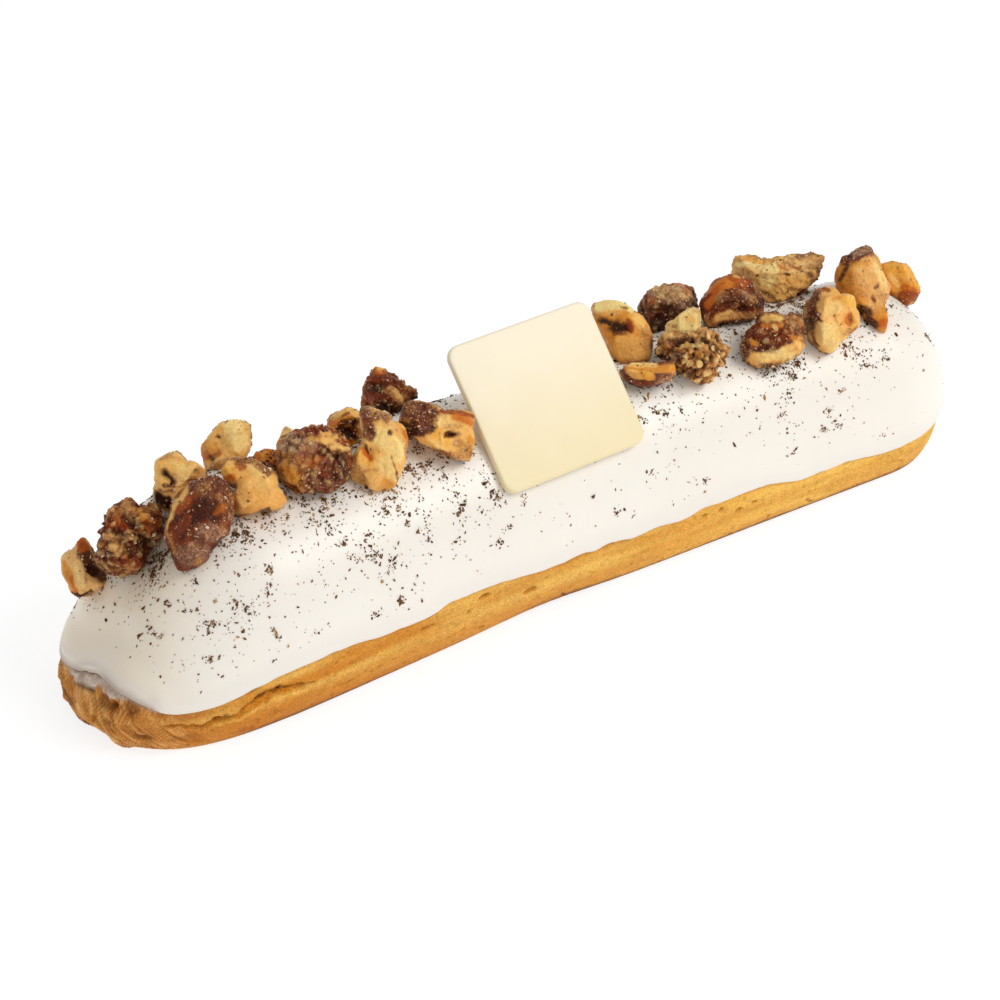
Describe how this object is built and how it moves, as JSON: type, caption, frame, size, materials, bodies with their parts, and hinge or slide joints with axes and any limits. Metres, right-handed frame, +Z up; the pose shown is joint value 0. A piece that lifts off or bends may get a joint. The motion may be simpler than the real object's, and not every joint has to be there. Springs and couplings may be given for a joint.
{
  "type": "iced eclair",
  "caption": "Long choux bun under smooth white icing, topped along its ridge with chopped caramelised nuts and a plain square chocolate plaque.",
  "frame": {"origin": "on the table under the middle of the bun", "axes": "+X along the bun from its broad end to its slim end, -Y towards the side that the plaque leans over, +Z up"},
  "size_m": [0.1454, 0.0342, 0.0379],
  "materials": {
    "choux": "baked crust, matt with a faint sheen",
    "icing": "satin icing with dark specks",
    "plaque": "satin white chocolate",
    "nut_cut": "cut nut flesh with brown skin",
    "nut_sugared": "sugar-crusted, slightly glossy"
  },
  "bodies": {
    "root": {"choux": "choux", "icing": "icing", "plaque": "plaque", "nut_01": "nut_cut", "nut_02": "nut_sugared", "nut_03": "nut_cut", "nut_04": "nut_cut", "nut_05": "nut_cut", "nut_06": "nut_cut", "nut_07": "nut_cut", "nut_08": "nut_sugared", "nut_09": "nut_cut", "nut_10": "nut_cut", "nut_11": "nut_sugared", "nut_12": "nut_cut", "nut_13": "nut_cut", "nut_14": "nut_sugared", "nut_15": "nut_cut", "nut_16": "nut_sugared", "nut_17": "nut_cut", "nut_18": "nut_cut", "nut_19": "nut_cut", "nut_20": "nut_sugared", "nut_21": "nut_cut", "nut_22": "nut_cut", "nut_23": "nut_cut", "nut_24": "nut_cut"}
  },
  "joints": []
}
